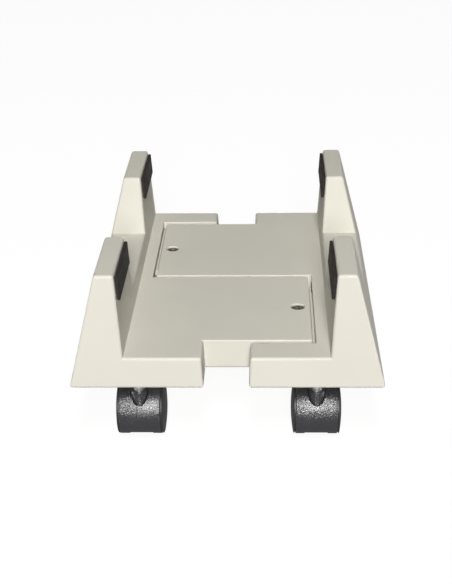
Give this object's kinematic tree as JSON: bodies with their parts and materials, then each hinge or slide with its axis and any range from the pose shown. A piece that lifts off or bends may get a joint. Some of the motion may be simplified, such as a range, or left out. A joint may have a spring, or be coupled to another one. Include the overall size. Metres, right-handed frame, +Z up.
{
  "type": "cpu holder",
  "caption": "Rolling stand of adjustable width that cradles a desktop computer tower between padded corner posts.",
  "frame": {"origin": "on the floor under the middle of the stand", "axes": "+Z up, +X towards the right rail, along which the width is adjusted, -Y towards the front"},
  "size_m": [0.2436, 0.306, 0.1468],
  "materials": {
    "ivory_abs": "fine moulded texture, satin",
    "black_foam": "closed-cell foam, matt",
    "zinc_steel": "bright zinc plated",
    "socket_nylon": "smooth",
    "hood_nylon": "leather grain",
    "wheel_nylon": "satin"
  },
  "bodies": {
    "left_half": {"left_frame": "ivory_abs", "pad_front_left": "black_foam", "pad_rear_left": "black_foam", "clamp_washer_front": "zinc_steel", "slide_nut_front": "zinc_steel", "caster_socket_front_left": "socket_nylon", "caster_stem_front_left": "zinc_steel", "grip_ring_front_left": "zinc_steel", "caster_socket_rear_left": "socket_nylon", "caster_stem_rear_left": "zinc_steel", "grip_ring_rear_left": "zinc_steel"},
    "right_half": {"right_frame": "ivory_abs", "pad_front_right": "black_foam", "pad_rear_right": "black_foam", "clamp_washer_rear": "zinc_steel", "slide_nut_rear": "zinc_steel", "caster_socket_front_right": "socket_nylon", "caster_stem_front_right": "zinc_steel", "grip_ring_front_right": "zinc_steel", "caster_socket_rear_right": "socket_nylon", "caster_stem_rear_right": "zinc_steel", "grip_ring_rear_right": "zinc_steel"},
    "front_screw": {"clamp_screw_front": "zinc_steel"},
    "rear_screw": {"clamp_screw_rear": "zinc_steel"},
    "caster_front_left": {"caster_hood_front_left": "hood_nylon", "caster_axle_front_left": "zinc_steel"},
    "wheel_front_left_a": {"wheel_front_left_a": "wheel_nylon"},
    "wheel_front_left_b": {"wheel_front_left_b": "wheel_nylon"},
    "caster_front_right": {"caster_hood_front_right": "hood_nylon", "caster_axle_front_right": "zinc_steel"},
    "wheel_front_right_a": {"wheel_front_right_a": "wheel_nylon"},
    "wheel_front_right_b": {"wheel_front_right_b": "wheel_nylon"},
    "caster_rear_left": {"caster_hood_rear_left": "hood_nylon", "caster_axle_rear_left": "zinc_steel"},
    "wheel_rear_left_a": {"wheel_rear_left_a": "wheel_nylon"},
    "wheel_rear_left_b": {"wheel_rear_left_b": "wheel_nylon"},
    "caster_rear_right": {"caster_hood_rear_right": "hood_nylon", "caster_axle_rear_right": "zinc_steel"},
    "wheel_rear_right_a": {"wheel_rear_right_a": "wheel_nylon"},
    "wheel_rear_right_b": {"wheel_rear_right_b": "wheel_nylon"}
  },
  "joints": [
    {"name": "width_slide", "type": "slide", "parent": "left_half", "child": "right_half", "axis": [1, 0, 0], "range_m": [-0.0025, 0.09]},
    {"name": "front_screw_turn", "type": "hinge", "parent": "left_half", "child": "front_screw", "pos_m": [0.0564, -0.061, 0.0775], "axis": [0, 0, 1], "range_deg": [0, 330]},
    {"name": "rear_screw_turn", "type": "hinge", "parent": "right_half", "child": "rear_screw", "pos_m": [-0.0564, 0.061, 0.0775], "axis": [0, 0, 1], "range_deg": [0, 330]},
    {"name": "swivel_front_left", "type": "hinge", "parent": "left_half", "child": "caster_front_left", "pos_m": [-0.07, -0.136, 0.045], "axis": [0, 0, 1], "continuous": true},
    {"name": "roll_front_left_a", "type": "hinge", "parent": "caster_front_left", "child": "wheel_front_left_a", "pos_m": [-0.07, -0.1237, 0.0215], "axis": [1, 0, 0], "continuous": true},
    {"name": "roll_front_left_b", "type": "hinge", "parent": "caster_front_left", "child": "wheel_front_left_b", "pos_m": [-0.07, -0.1237, 0.0215], "axis": [1, 0, 0], "continuous": true},
    {"name": "swivel_front_right", "type": "hinge", "parent": "right_half", "child": "caster_front_right", "pos_m": [0.07, -0.136, 0.045], "axis": [0, 0, 1], "continuous": true},
    {"name": "roll_front_right_a", "type": "hinge", "parent": "caster_front_right", "child": "wheel_front_right_a", "pos_m": [0.07, -0.1237, 0.0215], "axis": [1, 0, 0], "continuous": true},
    {"name": "roll_front_right_b", "type": "hinge", "parent": "caster_front_right", "child": "wheel_front_right_b", "pos_m": [0.07, -0.1237, 0.0215], "axis": [1, 0, 0], "continuous": true},
    {"name": "swivel_rear_left", "type": "hinge", "parent": "left_half", "child": "caster_rear_left", "pos_m": [-0.07, 0.136, 0.045], "axis": [0, 0, 1], "continuous": true},
    {"name": "roll_rear_left_a", "type": "hinge", "parent": "caster_rear_left", "child": "wheel_rear_left_a", "pos_m": [-0.07, 0.1237, 0.0215], "axis": [1, 0, 0], "continuous": true},
    {"name": "roll_rear_left_b", "type": "hinge", "parent": "caster_rear_left", "child": "wheel_rear_left_b", "pos_m": [-0.07, 0.1237, 0.0215], "axis": [1, 0, 0], "continuous": true},
    {"name": "swivel_rear_right", "type": "hinge", "parent": "right_half", "child": "caster_rear_right", "pos_m": [0.07, 0.136, 0.045], "axis": [0, 0, 1], "continuous": true},
    {"name": "roll_rear_right_a", "type": "hinge", "parent": "caster_rear_right", "child": "wheel_rear_right_a", "pos_m": [0.07, 0.1237, 0.0215], "axis": [1, 0, 0], "continuous": true},
    {"name": "roll_rear_right_b", "type": "hinge", "parent": "caster_rear_right", "child": "wheel_rear_right_b", "pos_m": [0.07, 0.1237, 0.0215], "axis": [1, 0, 0], "continuous": true}
  ]
}
